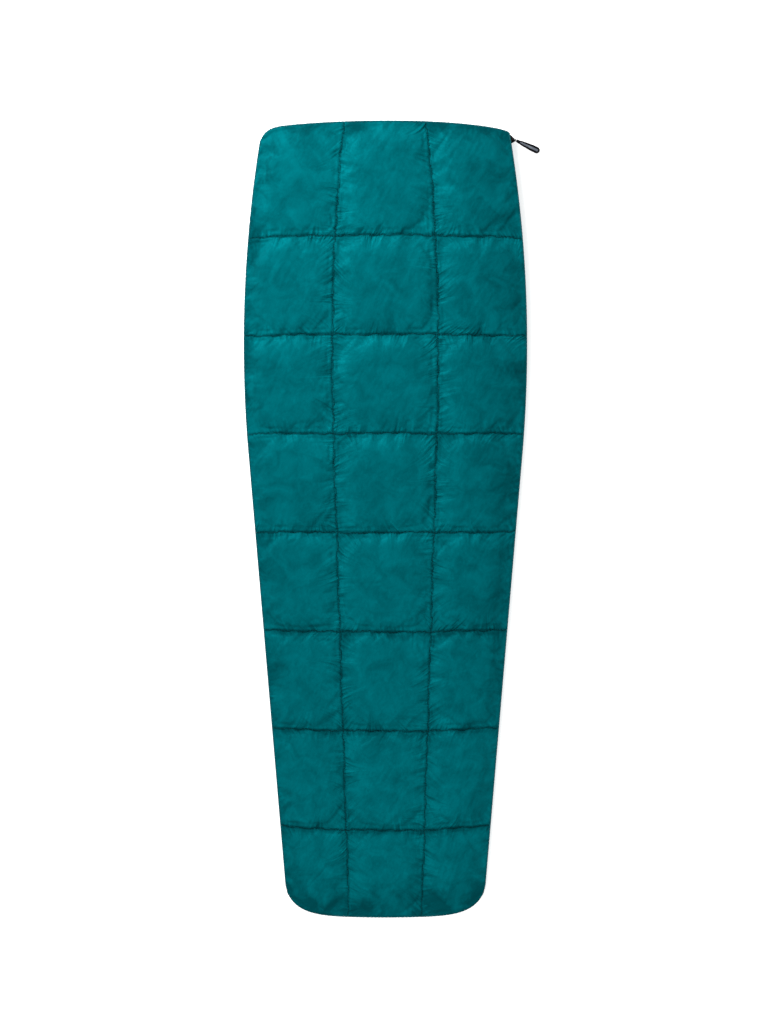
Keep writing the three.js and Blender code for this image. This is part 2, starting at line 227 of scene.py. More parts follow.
def grid_faces(count_u, count_v, flip=False):
    index = np.arange(count_u * count_v).reshape(count_u, count_v)
    corners = [index[:-1, :-1], index[1:, :-1], index[1:, 1:], index[:-1, 1:]]
    return np.stack(corners[::-1] if flip else corners, -1).reshape(-1, 4)


def border_of(grid):
    """The entries round a grid's border, anticlockwise where its first axis is x and its second y."""
    return np.concatenate([grid[:-1, 0], grid[-1, :-1], grid[:0:-1, -1], grid[0, :0:-1]])


def tube(sections, closed=True):
    """Vertices and faces of a tube: sections[k] holds the ring of points round its path's point k. An open
    tube is capped at both ends."""
    count, sides = sections.shape[:2]
    faces = []
    for k in range(count if closed else count - 1):
        after = (k + 1) % count
        for s in range(sides):
            t = (s + 1) % sides
            faces.append((k * sides + s, after * sides + s, after * sides + t, k * sides + t))
    if not closed:
        faces.append(tuple(range(sides)))
        faces.append(tuple((count - 1) * sides + s for s in reversed(range(sides))))
    return sections.reshape(-1, 3), faces


def lattice_noise(s, t, rng):
    """Smooth random values from -1 to 1, about one cell of s and t across."""
    s, t = s - s.min(), t - t.min()
    i, j = np.floor(s).astype(int), np.floor(t).astype(int)
    lattice = rng.uniform(-1, 1, (i.max() + 2, j.max() + 2))
    a, b = s - i, t - j
    a, b = a * a * (3 - 2 * a), b * b * (3 - 2 * b)
    low = lattice[i, j] * (1 - a) + lattice[i + 1, j] * a
    high = lattice[i, j + 1] * (1 - a) + lattice[i + 1, j + 1] * a
    return low * (1 - b) + high * b


def streaks(x, y, across, along, turn, rng):
    """Random bumps stretched along a direction turned from +Y."""
    c, d = np.cos(turn), np.sin(turn)
    return lattice_noise((x * c + y * d) / across, (y * c - x * d) / along, rng)


# ---- materials ----


class Shader:
    """A node material round one Principled shader."""

    def __init__(self, name, **values):
        self.material = bpy.data.materials.new(name)
        self.material.use_nodes = True
        self.tree = self.material.node_tree
        self.bsdf = self.tree.nodes["Principled BSDF"]
        self.place = self.add("ShaderNodeTexCoord").outputs["Object"]
        for key, value in values.items():
            self.bsdf.inputs[key.replace("_", " ")].default_value = value

    def add(self, kind, inputs=(), **settings):
        node = self.tree.nodes.new(kind)
        for key, value in settings.items():
            setattr(node, key, value)
        for key, value in dict(inputs).items():
            if isinstance(value, bpy.types.NodeSocket):
                self.tree.links.new(value, node.inputs[key])
            else:
                node.inputs[key].default_value = value
        return node

    def noise(self, scale, detail=3.0, roughness=0.55, distortion=0.0, stretch=None, turn=0.0):
        place = self.place
        if stretch:
            inputs = {"Vector": place, "Rotation": (0, 0, turn)}
            place = self.add("ShaderNodeMapping", inputs).outputs["Vector"]
            place = self.add("ShaderNodeMapping", {"Vector": place, "Scale": stretch}).outputs["Vector"]
        inputs = {"Vector": place, "Scale": scale, "Detail": detail}
        inputs |= {"Roughness": roughness, "Distortion": distortion}
        return self.add("ShaderNodeTexNoise", inputs).outputs["Fac"]

    def span(self, value, low, high, to_low=0.0, to_high=1.0):
        inputs = {"Value": value, "From Min": low, "From Max": high, "To Min": to_low, "To Max": to_high}
        return self.add("ShaderNodeMapRange", inputs).outputs["Result"]

    def math(self, operation, a, b=0.0):
        return self.add("ShaderNodeMath", {0: a, 1: b}, operation=operation).outputs["Value"]

    def mix(self, share, a, b):
        # a Mix node's sockets share their names, so that they are numbered: 6 and 7 are its two colours
        return self.add("ShaderNodeMix", {0: share, 6: a, 7: b}, data_type="RGBA").outputs[2]

    def bump(self, height, depth, strength=1.0, below=None):
        inputs = {"Height": height, "Distance": depth, "Strength": strength}
        if below is not None:
            inputs["Normal"] = below
        return self.add("ShaderNodeBump", inputs).outputs["Normal"]

    def drive(self, **sockets):
        for key, value in sockets.items():
            self.tree.links.new(value, self.bsdf.inputs[key.replace("_", " ")])
        return self.material


def srgb(red, green, blue):
    """A linear colour, with alpha, from the 0 to 255 numbers that a screen shows."""
    parts = [c / 255 for c in (red, green, blue)]
    return (*[c / 12.92 if c <= 0.04045 else ((c + 0.055) / 1.055) ** 2.4 for c in parts], 1.0)


def gathered_folds(s, attribute, fading):
    """Fine folds that run away from a seam, from about -1 to 1. The attribute holds each place's root along
    the seam, its distance from it and the seam's number."""
    place = s.add("ShaderNodeAttribute", attribute_name=attribute).outputs["Vector"]
    away = s.add("ShaderNodeSeparateXYZ", {"Vector": place}).outputs["Y"]
    fine = s.add("ShaderNodeMapping", {"Vector": place, "Scale": (110, 18, 7)}).outputs["Vector"]
    fold = s.add("ShaderNodeTexNoise", {"Vector": fine, "Scale": 1.0, "Detail": 1.5}).outputs["Fac"]
    broad = s.add("ShaderNodeMapping", {"Vector": place, "Scale": (16, 0, 3)}).outputs["Vector"]
    fullness = s.add("ShaderNodeTexNoise", {"Vector": broad, "Scale": 1.0, "Detail": 2.0}).outputs["Fac"]
    fade = s.math("EXPONENT", s.math("MULTIPLY", away, -fading))
    size = s.math("MULTIPLY", fade, s.span(fullness, 0.38, 0.64, 0.08, 1.15))
    return s.math("MULTIPLY", s.span(fold, 0.3, 0.7, -1, 1), size)


def light_nylon(name, deep, bright, seam, tint):
    """Crinkled light taffeta over down, mottled by the clumps under it. Its colour also carries painted shade
    along the seams, in the fold valleys and towards the edges, painted highlights on the fold ridges, and
    painted light and shade by how high it puffs.
    """
    sheen = dict(Sheen_Weight=0.05, Sheen_Roughness=0.4, Sheen_Tint=tint)
    s = Shader(name, Specular_IOR_Level=0.04, Specular_Tint=tint, Metallic=0.1, **sheen)
    clump = s.noise(19, 5, 0.6, 0.8)
    crinkle = s.noise(110, 4, 0.62, 1.2, stretch=(1, 0.45, 1), turn=math.radians(28))
    puff = s.add("ShaderNodeAttribute", attribute_name="puff").outputs["Fac"]
    share = s.math("ADD", s.span(clump, 0.34, 0.66, 0.30, 0.70), s.span(crinkle, 0.3, 0.7, -0.04, 0.16))
    # painted light and shade: paler where the cloth lies low by the seams, darker on the crowns of the
    # chambers
    share = s.math("ADD", share, s.span(puff, 0.3, 1.0, 0.1, -0.12))
    # painted shade, partly also thinner down: darker beside the seams, along the outline and over the right
    # column
    painted_shade_and_thin_down = s.add("ShaderNodeAttribute", attribute_name="painted_shade_and_thin_down").outputs["Fac"]
    share = s.math("SUBTRACT", share, s.math("MULTIPLY", painted_shade_and_thin_down, s.span(clump, 0.3, 0.6, 1.1, 0.6)))
    strokes = s.math("ADD", gathered_folds(s, "long_folds", 44), gathered_folds(s, "cross_folds", 64))
    # painted shade in the fold valleys and painted highlight on their ridges
    share = s.math("ADD", share, s.math("MULTIPLY", strokes, 0.56))
    cloth = s.mix(share, deep, bright)
    # painted shade in the seam grooves, partly also the denser gathered fabric: the colour turns to the seam
    # colour along each seam
    seam_gathers_and_groove_shade = s.add("ShaderNodeAttribute", attribute_name="seam").outputs["Fac"]
    colour = s.mix(s.math("MULTIPLY", seam_gathers_and_groove_shade, s.span(crinkle, 0.25, 0.7, 0.45, 0.85)), cloth, seam)
    roughness = s.span(crinkle, 0.3, 0.7, 0.56, 0.42)
    folds = s.bump(s.noise(75, 3, 0.5, 2.2, stretch=(1, 0.5, 1), turn=math.radians(28)), 0.0007, 0.6)
    folds = s.bump(strokes, 0.0024, 1.0, folds)
    fine = s.noise(230, 4, 0.6, 1.6, stretch=(1, 0.45, 1), turn=math.radians(-35))
    creases = s.bump(fine, 0.0006, 0.7, folds)
    wave = {"Vector": s.place, "Scale": 420}
    threads = [s.add("ShaderNodeTexWave", wave, bands_direction=axis).outputs["Fac"] for axis in ("X", "Y")]
    weave = s.bump(s.math("MULTIPLY", *threads), 0.00006, 0.5, creases)
    return s.drive(Base_Color=colour, Roughness=roughness, Normal=weave)


def woven_tape(name, dark, light, pitch):
    """Ribbed woven tape, with ribs pitch apart along and across."""
    s = Shader(name, Sheen_Weight=0.04, Specular_IOR_Level=0.15)
    wave = {"Vector": s.place, "Scale": 0.32 / pitch, "Distortion": 0.6}
    ribs = [s.add("ShaderNodeTexWave", wave, bands_direction=axis).outputs["Fac"] for axis in ("Y", "Z")]
    rib = s.math("MULTIPLY", *ribs)
    fuzz = s.noise(900, 3)
    colour = s.mix(s.math("MULTIPLY", rib, s.span(fuzz, 0.3, 0.7)), dark, light)
    normal = s.bump(fuzz, 0.0001, 0.5, s.bump(rib, 0.0002, 0.8))
    return s.drive(Base_Color=colour, Roughness=s.span(fuzz, 0.3, 0.7, 0.7, 0.9), Normal=normal)


def smooth_moulding(name, dark, light, roughness, metallic=0.0, grain=600, shine=0.5):
    """Moulded plastic, rubber or paint: a fine grain, and paler and smoother where it is handled."""
    s = Shader(name, Metallic=metallic, Specular_IOR_Level=shine)
    handled = s.span(s.noise(90, 4, 0.6, 0.5), 0.45, 0.75)
    fine = s.noise(grain, 2)
    colour = s.mix(s.math("MULTIPLY", handled, 0.6), dark, light)
    grainy = s.span(fine, 0.3, 0.7, roughness - 0.06, roughness + 0.08)
    gloss = s.math("SUBTRACT", grainy, s.math("MULTIPLY", handled, 0.1))
    return s.drive(Base_Color=colour, Roughness=gloss, Normal=s.bump(fine, 0.00008, 0.6))


def down_clusters(name):
    """Off-white down, tufted."""
    s = Shader(name, Sheen_Weight=0.6, Specular_IOR_Level=0.2)
    tuft = s.noise(140, 6, 0.7, 1.5)
    colour = s.mix(s.span(tuft, 0.3, 0.7), srgb(196, 190, 180), srgb(243, 240, 233))
    roughness = s.span(tuft, 0.3, 0.7, 0.85, 1.0)
    return s.drive(Base_Color=colour, Roughness=roughness, Normal=s.bump(tuft, 0.002, 0.9))


def studio_floor(name):
    s = Shader(name, Specular_IOR_Level=0.1)
    grain = s.noise(3.0, 3)
    colour = s.mix(grain, srgb(247, 247, 247), srgb(251, 251, 251))
    # a lit table top, as product pictures are taken on
    s.bsdf.inputs["Emission Color"].default_value = (1, 1, 1, 1)
    s.bsdf.inputs["Emission Strength"].default_value = 0.55
    return s.drive(Base_Color=colour, Roughness=s.span(grain, 0.3, 0.7, 0.85, 0.95))


# seam is the darker colour along the seams: painted shade in their grooves, partly also gathered fabric
SHELL = light_nylon(
    "shell_nylon", srgb(0, 66, 72), srgb(0, 105, 113), seam=srgb(0, 64, 70), tint=srgb(0, 190, 200)
)
LINING = light_nylon(
    "lining_nylon", srgb(30, 38, 43), srgb(46, 56, 62), seam=srgb(18, 24, 28), tint=srgb(170, 190, 200)
)
THREAD = woven_tape("thread", srgb(0, 62, 68), srgb(0, 96, 103), 0.4 * MM)
# paler than the shell fabric: painted light, so that its shaded sides read like the lit shell
BINDING = woven_tape("edge_binding", srgb(0, 72, 79), srgb(0, 112, 120), 0.5 * MM)
TAPE = woven_tape("zip_tape", srgb(8, 44, 48), srgb(14, 66, 72), 0.6 * MM)
COIL = smooth_moulding("zip_coil", srgb(16, 18, 20), srgb(46, 50, 54), 0.35)
SLIDER = smooth_moulding("slider_paint", srgb(14, 15, 17), srgb(60, 62, 66), 0.34, 0.35)
RUBBER = smooth_moulding("pull_rubber", srgb(3, 3, 8), srgb(14, 13, 20), 0.62, shine=0.12)
INSET = smooth_moulding("pull_inset", srgb(92, 98, 108), srgb(158, 168, 176), 0.6, shine=0.2)
DOWN = down_clusters("down")
GUARD = woven_tape("guard_tape", srgb(2, 2, 5), srgb(12, 12, 17), 0.7 * MM)
FLOOR = studio_floor("floor")


# ---- the quilted fabric ----


def coarse_grid():
    u = np.linspace(0, COLUMNS, COLUMNS * CELLS_U + 1)
    v = np.linspace(0, ROWS, ROWS * CELLS_V + 1)
    return np.meshgrid(u, v, indexing="ij")


def blown_fabric():
    """The outer fabric of a half, by cloth simulation: pinned at every seam and at the outline, cut a little
    larger than the chambers, and blown out by the down. Returns its points over the coarse grid."""
    u, v = coarse_grid()
    x, y = place(u, v)
    swell = (np.abs(np.sin(math.pi * u)) * np.abs(np.sin(math.pi * v))) ** 0.6
    z = RIM_OUTER + (SEAM_OUTER - RIM_OUTER) * inland(u, v) + PUFF_HEIGHT * swell
    points = np.stack([x, y, z], -1)
    cloth = new_piece("cloth", points.reshape(-1, 3), grid_faces(*u.shape), SHELL)
    sewn = (np.abs(u - np.round(u)) < 1e-6) | (np.abs(v - np.round(v)) < 1e-6)
    group = cloth.vertex_groups.new(name="sewn")
    group.add(np.nonzero(sewn.reshape(-1))[0].tolist(), 1.0, "ADD")
    modifier = cloth.modifiers.new("Cloth", "CLOTH")
    settings = modifier.settings
    settings.quality = 5
    settings.mass = 0.1
    settings.tension_stiffness = settings.compression_stiffness = 15
    settings.bending_stiffness = 0.02
    settings.air_damping = 2
    settings.vertex_group_mass = group.name
    settings.shrink_min = settings.shrink_max = -0.03
    settings.use_pressure = True
    settings.uniform_pressure_force = 1.0
    settings.effector_weights.gravity = 0
    modifier.collision_settings.use_collision = False
    modifier.point_cache.frame_end = SIM_FRAMES
    for number in range(1, SIM_FRAMES + 1):
        bpy.context.scene.frame_set(number)
    shaped = cloth.evaluated_get(bpy.context.evaluated_depsgraph_get()).to_mesh()
    result = np.empty(len(shaped.vertices) * 3, np.float32)
    shaped.vertices.foreach_get("co", result)
    bpy.data.objects.remove(cloth)
    return result.astype(float).reshape(points.shape)


def halved(values, cells):
    """Twice as fine along the first axis: smooth inside each chamber, creased at its seams."""
    parts = []
    for start in range(0, len(values) - 1, cells):
        a = values[start : start + cells + 1]
        middle = (a[:-1] + a[1:]) / 2
        middle[1:-1] = (9 * (a[1:-2] + a[2:-1]) - a[:-3] - a[3:]) / 16
        fine = np.empty((2 * cells + 1, *a.shape[1:]))
        fine[0::2], fine[1::2] = a, middle
        parts.append(fine[:-1])
    return np.concatenate([*parts, values[-1:]])


def gathers(along, away, share, rng, reach, size):
    """The small puckers on one side of a seam, at distances along it and away from it: their heights, and
    each place's position along the seam when followed back down its fold. The folds fan out from the
    chamber's corners and are fullest there; share is how far along the chamber a place is."""
    corner = np.exp(-((np.minimum(share, 1 - share) / 0.13) ** 2))
    fullness = 0.55 + waves(along, rng, ((0.31, 0.25), (0.13, 0.2), (0.052, 0.15)))
    fullness = np.clip(fullness, 0.1, 1.2) + 0.5 * corner
    lean = 0.7 * (2 * share - 1) + waves(along, rng, ((0.83, 0.45), (0.29, 0.35), (0.17, 0.25)))
    root = along + lean * away
    folds = lattice_noise(root / 0.0048, away / 0.03, rng)
    folds = folds + 0.5 * lattice_noise(root / 0.0095, away / 0.05, rng)
    fade = np.exp(-away / (reach * fullness)) * (1 - np.exp(-away / 0.003))
    return size * fullness * fade * (folds - 0.3 * np.abs(folds)), root


class Puckers:
    """The puckers beside every seam and edge of a half: their heights, and what its material follows."""

    def __init__(self, u, v, x, y, rng):
        self.heights, self.closeness = np.zeros_like(x), np.zeros_like(x)
        long_offsets = [x - column_x(np.full_like(u, float(k)), y) for k in range(COLUMNS + 1)]
        self.long_folds = self.beside_lines(long_offsets, y, v - np.floor(v), rng, 0.022, 2.8 * MM, 0.36)
        cross_offsets = [y - line_y(k, u) for k in range(ROWS + 1)]
        self.cross_folds = self.beside_lines(cross_offsets, x, u - np.floor(u), rng, 0.014, 2.3 * MM, 0.9)

    def beside_lines(self, offsets, along, share, rng, reach, size, depth):
        """Adds the puckers of one set of lines. Returns, for the nearest line to each place, its fold's root,
        its distance from the line and the line's own number."""
        nearest = np.full_like(along, np.inf)
        folds = np.zeros((*along.shape, 3))
        for k, offset in enumerate(offsets):
            away = np.abs(offset)
            at_edge = k in (0, len(offsets) - 1)
            strength = 0.55 if at_edge else 1.0
            far = reach * (0.7 if at_edge else 1)
            for side in (-1, 1):
                heights, root = gathers(along, away, share, rng, far, size * strength)
                here = (offset * side >= 0) & (away < 0.15)
                self.heights += np.where(here, heights, 0)
                here &= away < nearest
                faded = 2.2 * away + 0.014 if at_edge else away
                folds[here] = np.stack([root, faded, np.full_like(root, 2 * k + (side > 0))], -1)[here]
                nearest = np.where(here, away, nearest)
            drawn_in = depth * (1 + waves(along, rng, ((0.19, 0.15), (0.083, 0.15)))) * (0.4 + 0.6 * strength)
            drawn_in = np.exp(-((away / SEAM_SHADE) ** 2)) * np.minimum(drawn_in, 1)
            self.closeness = np.maximum(self.closeness, drawn_in)
        return folds


class Fabric:
    """One half's fabric over the fine grid: plan places, and the heights of the shell and the lining."""

    def __init__(self, blown, seed):
        rng = np.random.RandomState(seed)
        fine = halved(blown, CELLS_U)
        fine = halved(fine.swapaxes(0, 1), CELLS_V).swapaxes(0, 1)
        self.x, self.y, height = fine[..., 0], fine[..., 1], fine[..., 2]
        us = np.linspace(0, COLUMNS, 2 * COLUMNS * CELLS_U + 1)
        vs = np.linspace(0, ROWS, 2 * ROWS * CELLS_V + 1)
        self.u, self.v = np.meshgrid(us, vs, indexing="ij")
        edge = inland(self.u, self.v)
        pinch_outer = RIM_OUTER + (SEAM_OUTER - RIM_OUTER) * edge
        pinch_inner = RIM_INNER + (SEAM_INNER - RIM_INNER) * edge
        loft = np.maximum(height - pinch_outer, 0) * self.run_out()
        self.puckers = Puckers(self.u, self.v, self.x, self.y, rng)
        ripple = self.puckers.heights
        lumps = 0.85 * MM * streaks(self.x, self.y, 0.050, 0.050, 0.5, rng)
        lumps += 0.45 * MM * streaks(self.x, self.y, 0.019, 0.024, 1.1, rng)
        turns = rng.uniform(15, 40, (COLUMNS, ROWS)) * rng.choice((-1, -1, -1, 1), (COLUMNS, ROWS))
        column = np.minimum(np.floor(self.u), COLUMNS - 1).astype(int)
        row = np.minimum(np.floor(self.v), ROWS - 1).astype(int)
        lumps += 0.45 * MM * streaks(self.x, self.y, 0.007, 0.060, np.radians(turns[column, row]), rng)
        # painted shade, partly also thinner down, which the material darkens by
        self.painted_shade_and_thin_down = self.paint_shade_and_thin_down(rng)
        away = np.clip(loft / 0.010, 0, 1)
        groove = GROOVE_DEPTH * self.puckers.closeness
        top = CREST - 0.3 * MM
        # the loft levels off towards its limit, as down does under its own weight
        limit = top - SEAM_OUTER
        self.puff = limit * np.tanh(loft / limit) / limit
        outer = pinch_outer + self.puff * limit + away * lumps + ripple - groove
        self.outer = np.minimum(outer, top + 0.15 * (outer - top))
        self.inner = pinch_inner - 0.3 * self.puff * limit
        self.inner += 0.35 * (groove - ripple - away * lumps)
        self.inner = np.maximum(self.inner, LINING_CREST)
        self.outer = np.maximum(self.outer, self.inner + LEAST_LOFT)

    def run_out(self):
        """How much of the loft is left beside the outline, where the fabric runs down to the edge."""
        near = np.minimum.reduce([self.u * 4.5, (COLUMNS - self.u) * 4.5, self.v * 2.2, (ROWS - self.v) * 4])
        near = np.clip(near, 0, 1)
        return 0.4 + 0.6 * near * near * (3 - 2 * near)

    def paint_shade_and_thin_down(self, rng):
        """Where the cloth is painted darker, partly for thinner down under it and partly as painted shade:
        beside the seams and along the outline, most of all at the foot, and, as painted shade alone, over the
        right column."""
        painted_shade_and_thin_down = np.zeros_like(self.x)
        for k in range(1, ROWS):
            above = self.y - line_y(k, self.u)
            below = np.exp(above / 0.012) if k <= 3 else 0.5 * np.exp(above / 0.006)
            painted_shade_and_thin_down = np.maximum(painted_shade_and_thin_down, np.where(above >= 0, 0.65 * np.exp(-above / 0.011), below))
        for k in range(1, COLUMNS):
            beside = np.abs(self.x - column_x(np.full_like(self.u, float(k)), self.y))
            painted_shade_and_thin_down = np.maximum(painted_shade_and_thin_down, 0.45 * np.exp(-beside / 0.012))
        # painted shade along the outline: darker by the left and right edges, the foot and the head
        rims = (
            (self.x + side_x(self.y), 0.50 + 0.35 * np.clip(self.v / 2 - 2.5, 0, 1), 0.042),
            (side_x(self.y) - self.x, 0.35, 0.045),
            (self.y - line_y(0, self.u), 1.0, 0.060),
            (line_y(ROWS, self.u) - self.y, 0.80, 0.036),
        )
        for inwards, strength, reach in rims:
            painted_shade_and_thin_down = np.maximum(painted_shade_and_thin_down, strength * np.exp(-((np.maximum(inwards, 0) / reach) ** 1.5)))
        patches = streaks(self.x, self.y, 0.030, 0.045, 0.3, rng)
        # painted shade: the right column darker, as if it leaned away from the light
        right = np.clip(self.u - 2, 0, 1) * np.clip((self.v - 1.5) / 1.5, 0, 1)
        return np.clip(painted_shade_and_thin_down * (0.8 + 0.4 * patches) + 0.22 * right, 0, 1)

    def points(self, side, height):
        return np.stack([self.x, self.y, MID_Z + side * height], -1)


def add_skin(half, side, fabric, kind, material):
    """A half's shell, or its lining on every second grid line, with the values that the material follows."""
    kept = slice(None, None, 1 if kind == "shell" else 2)
    height = fabric.outer if kind == "shell" else fabric.inner
    points = fabric.points(side, height)[kept, kept]
    points[..., 2] = np.maximum(points[..., 2], 0.2 * MM)
    facing_up = (side > 0) == (kind == "shell")
    faces = grid_faces(*points.shape[:2], flip=not facing_up)
    skin = new_piece(f"{half}_{kind}_fabric", points.reshape(-1, 3), faces, material)
    puckers = fabric.puckers
    for name, values in (("seam", puckers.closeness), ("puff", fabric.puff), ("painted_shade_and_thin_down", fabric.painted_shade_and_thin_down)):
        attribute = skin.data.attributes.new(name, "FLOAT", "POINT")
        attribute.data.foreach_set("value", values[kept, kept].reshape(-1).astype(np.float32))
    for name, values in (("long_folds", puckers.long_folds), ("cross_folds", puckers.cross_folds)):
        attribute = skin.data.attributes.new(name, "FLOAT_VECTOR", "POINT")
        attribute.data.foreach_set("vector", values[kept, kept].reshape(-1).astype(np.float32))
    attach(skin, f"{half}_half")
    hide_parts(f"{half}_{kind}")


def lowest_near(values, reach):
    """Each value's lowest neighbour within reach cells."""
    result = values
    for axis in (0, 1):
        cells = np.arange(result.shape[axis])
        shifted = [np.clip(cells + k, 0, cells[-1]) for k in range(-reach, reach + 1)]
        result = np.minimum.reduce([result.take(near, axis) for near in shifted])
    return result


def add_down(half, side, fabric):
    """The down in each chamber: a soft lump that follows the fabric and stays clear of it."""
    step = 6
    ceiling = lowest_near(fabric.outer, step) - DOWN_CLEARANCE
    ground = -lowest_near(-fabric.inner, step) + DOWN_CLEARANCE
    share = np.linspace(-1, 1, 13)
    across, along = np.meshgrid(share, share, indexing="ij")
    # a plan between a square and a disc, which keeps out of the chamber's flat corners
    across, along = across * np.sqrt(1 - 0.42 * along**2), along * np.sqrt(1 - 0.42 * across**2)
    for row in range(ROWS):
        for column in range(COLUMNS):
            for inset in range(8, 28, 2):
                i = np.rint(CELLS_U * (2 * column + 1) + (CELLS_U - inset) * across).astype(int)
                j = np.rint(CELLS_V * (2 * row + 1) + (CELLS_V - inset) * along).astype(int)
                outer, inner = ceiling[i, j], ground[i, j]
                if (outer - inner).min() > DOWN_THINNEST:
                    break
            x, y = fabric.x[i, j], fabric.y[i, j]
            middle = (outer + inner) / 2
            border = np.ones_like(x, bool)
            border[1:-1, 1:-1] = False
            outer = np.where(border, middle + 0.2 * MM, outer)
            inner = np.where(border, middle - 0.2 * MM, inner)
            name = f"{half}_down_r{row + 1}c{column + 1}"
            lump = closed_lump(f"{name}_fill", x, y, MID_Z + side * outer, MID_Z + side * inner, side)
            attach(lump, f"{half}_half")
            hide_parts(name)


def closed_lump(name, x, y, outer, inner, side):
    """A closed solid between two heights over one grid."""
    nu, nv = x.shape
    points = np.concatenate([np.stack([x, y, z], -1).reshape(-1, 3) for z in (outer, inner)])
    rim = border_of(np.arange(nu * nv).reshape(nu, nv))
    after = np.roll(rim, -1)
    wall = np.stack([rim, after, after + nu * nv, rim + nu * nv], -1)
    if side > 0:
        wall = wall[:, ::-1]
    top, bottom = grid_faces(nu, nv, flip=side < 0), grid_faces(nu, nv, flip=side > 0) + nu * nv
    return new_piece(name, points, np.concatenate([top, bottom, wall]), DOWN)


# ---- stitching and edges ----


def unit(vectors):
    return vectors / np.linalg.norm(vectors, axis=1, keepdims=True)


def distance_along(path):
    return np.concatenate([[0], np.cumsum(np.linalg.norm(np.diff(path, axis=0), axis=1))])


def at_distances(path, distance, at):
    """The points of a path at distances along it, where distance holds those of its own points."""
    return np.stack([np.interp(at, distance, path[:, k]) for k in range(path.shape[1])], -1)


def stitches(lines):
    """Vertices and faces of stitches along several lines: a pointed bead for each."""
    vertices, faces = [], []
    up = np.array([0, 0, 1.0])
    near_end = [[0, 2, 1], [0, 3, 2], [0, 4, 3], [0, 1, 4]]
    far_end = [[5, 1, 2], [5, 2, 3], [5, 3, 4], [5, 4, 1]]
    pattern = np.array(near_end + far_end)
    for line in lines:
        distance = distance_along(line)
        at = np.arange(STITCH_PITCH / 2, distance[-1], STITCH_PITCH)
        ahead, where, behind = [at_distances(line, distance, at + STITCH_PITCH * k / 3) for k in (1, 0, -1)]
        along = unit(ahead - behind)
        across = unit(np.cross(along, up))
        rise = STITCH_RADIUS * np.cross(across, along)
        along, across = along * STITCH_LENGTH / 2, across * STITCH_RADIUS
        first = sum(len(v) for v in vertices)
        beads = np.stack([where + reach for reach in (-along, across, rise, -across, -rise, along)], 1)
        vertices.append(beads.reshape(-1, 3))
        base = first + 6 * np.arange(len(where))[:, None, None]
        faces.append((base + pattern).reshape(-1, 3))
    return np.concatenate(vertices), np.concatenate(faces)


def add_stitching(half, side, fabric):
    """Thread along every quilting seam, on the shell and on the lining."""
    lines = []
    for height, proud in ((fabric.outer, THREAD_PROUD), (fabric.inner, -THREAD_PROUD)):
        points = fabric.points(side, height + proud)
        lines += [points[2 * CELLS_U * k] for k in range(1, COLUMNS)]
        lines += [points[:, 2 * CELLS_V * k] for k in range(1, ROWS)]
    thread = new_piece(f"{half}_quilting_thread", *stitches(lines), THREAD)
    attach(thread, f"{half}_half")


def outward(path, closed=True):
    """Unit vectors out of an anticlockwise path."""
    along = np.roll(path, -1, 0) - np.roll(path, 1, 0) if closed else np.gradient(path, axis=0)
    along = unit(along)
    return np.stack([along[:, 1], -along[:, 0]], -1)


def add_binding(half, side, fabric, seed):
    """The bound edge that closes shell and lining together all round a half."""
    rng = np.random.RandomState(seed)
    path = border_of(np.stack([fabric.x, fabric.y], -1))
    out = outward(path)
    along = distance_along(path)
    sides = 10
    angle = 2 * math.pi * np.arange(sides) / sides
    puff = 1 + 0.1 * np.sin(2 * math.pi * along / 0.0088 + waves(along, rng, ((0.11, 1.1), (0.043, 0.9))))
    puff = puff[:, None]
    offset = BINDING_HALF_WIDTH * puff * np.cos(angle) - BINDING_SET_IN
    level = side * ((RIM_INNER + RIM_OUTER) / 2 + BINDING_HALF_HEIGHT * puff * np.sin(angle))
    plan = path[:, None] + out[:, None] * offset[..., None]
    sections = np.concatenate([plan, MID_Z + level[..., None]], -1)
    # on the left it stops short of the line that the halves open about
    past = np.maximum((sections - HINGE_PLACE) @ HINGE_OUT + HINGE_CLEARANCE, 0)
    sections -= past[..., None] * HINGE_OUT
    vertices, faces = tube(sections)
    if side > 0:
        faces = [f[::-1] for f in faces]
    binding = new_piece(f"{half}_edge_binding", vertices, faces, BINDING)
    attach(binding, f"{half}_half")


# ---- the joined edges: the zip on the right and round the foot, a sewn band on the left ----


def side_path(side, top_y, end_x):
    """The outline from end_x on the foot edge, round its corner and up one side to top_y."""
    corner_y = FOOT_Y + FOOT_EDGE["crown"] + FOOT_EDGE["rise"]
    x = side * FOOT_EDGE["reach"] + (end_x - side * FOOT_EDGE["reach"]) * np.linspace(1, 0, 120) ** 2
    y = np.linspace(corner_y, top_y, 500)
    foot = np.stack([x, foot_edge_y(x)], -1)
    return np.concatenate([foot[:-1], np.stack([side * side_x(y), y], -1)])


def evened(path, step):
    """The same path with points a step apart."""
    distance = distance_along(path)
    return at_distances(path, distance, np.linspace(0, distance[-1], int(distance[-1] / step) + 1))


def beside(path, side, offset, level):
    """Points offset outwards from a plan path, at a level from the middle plane."""
    out = side * outward(path, closed=False)
    offset, level = np.broadcast_arrays(offset, level)
    shape = (len(path), *offset.shape[1:])
    offset, level = np.broadcast_to(offset, shape), np.broadcast_to(level, shape)
    plan = path[:, None] + out[:, None] * offset[..., None]
    return np.concatenate([plan, MID_Z + level[..., None]], -1)


def band_on_edge(name, path, side, rows, thickness, material, inner_levels=None):
    """A band standing on edge along a path. rows are the (offset, level) places across it, from its low edge,
    and inner_levels, if given, are the inner face's own levels."""
    rows = np.array(rows)
    inner = rows - [thickness / 2, 0]
    if inner_levels is not None:
        inner[:, 1] = inner_levels
    loop = np.concatenate([rows + [thickness / 2, 0], inner[::-1]])
    sections = beside(path, side, loop[None, :, 0], loop[None, :, 1])
    vertices, faces = tube(sections, closed=False)
    return new_piece(name, vertices, faces if side < 0 else [f[::-1] for f in faces], material)


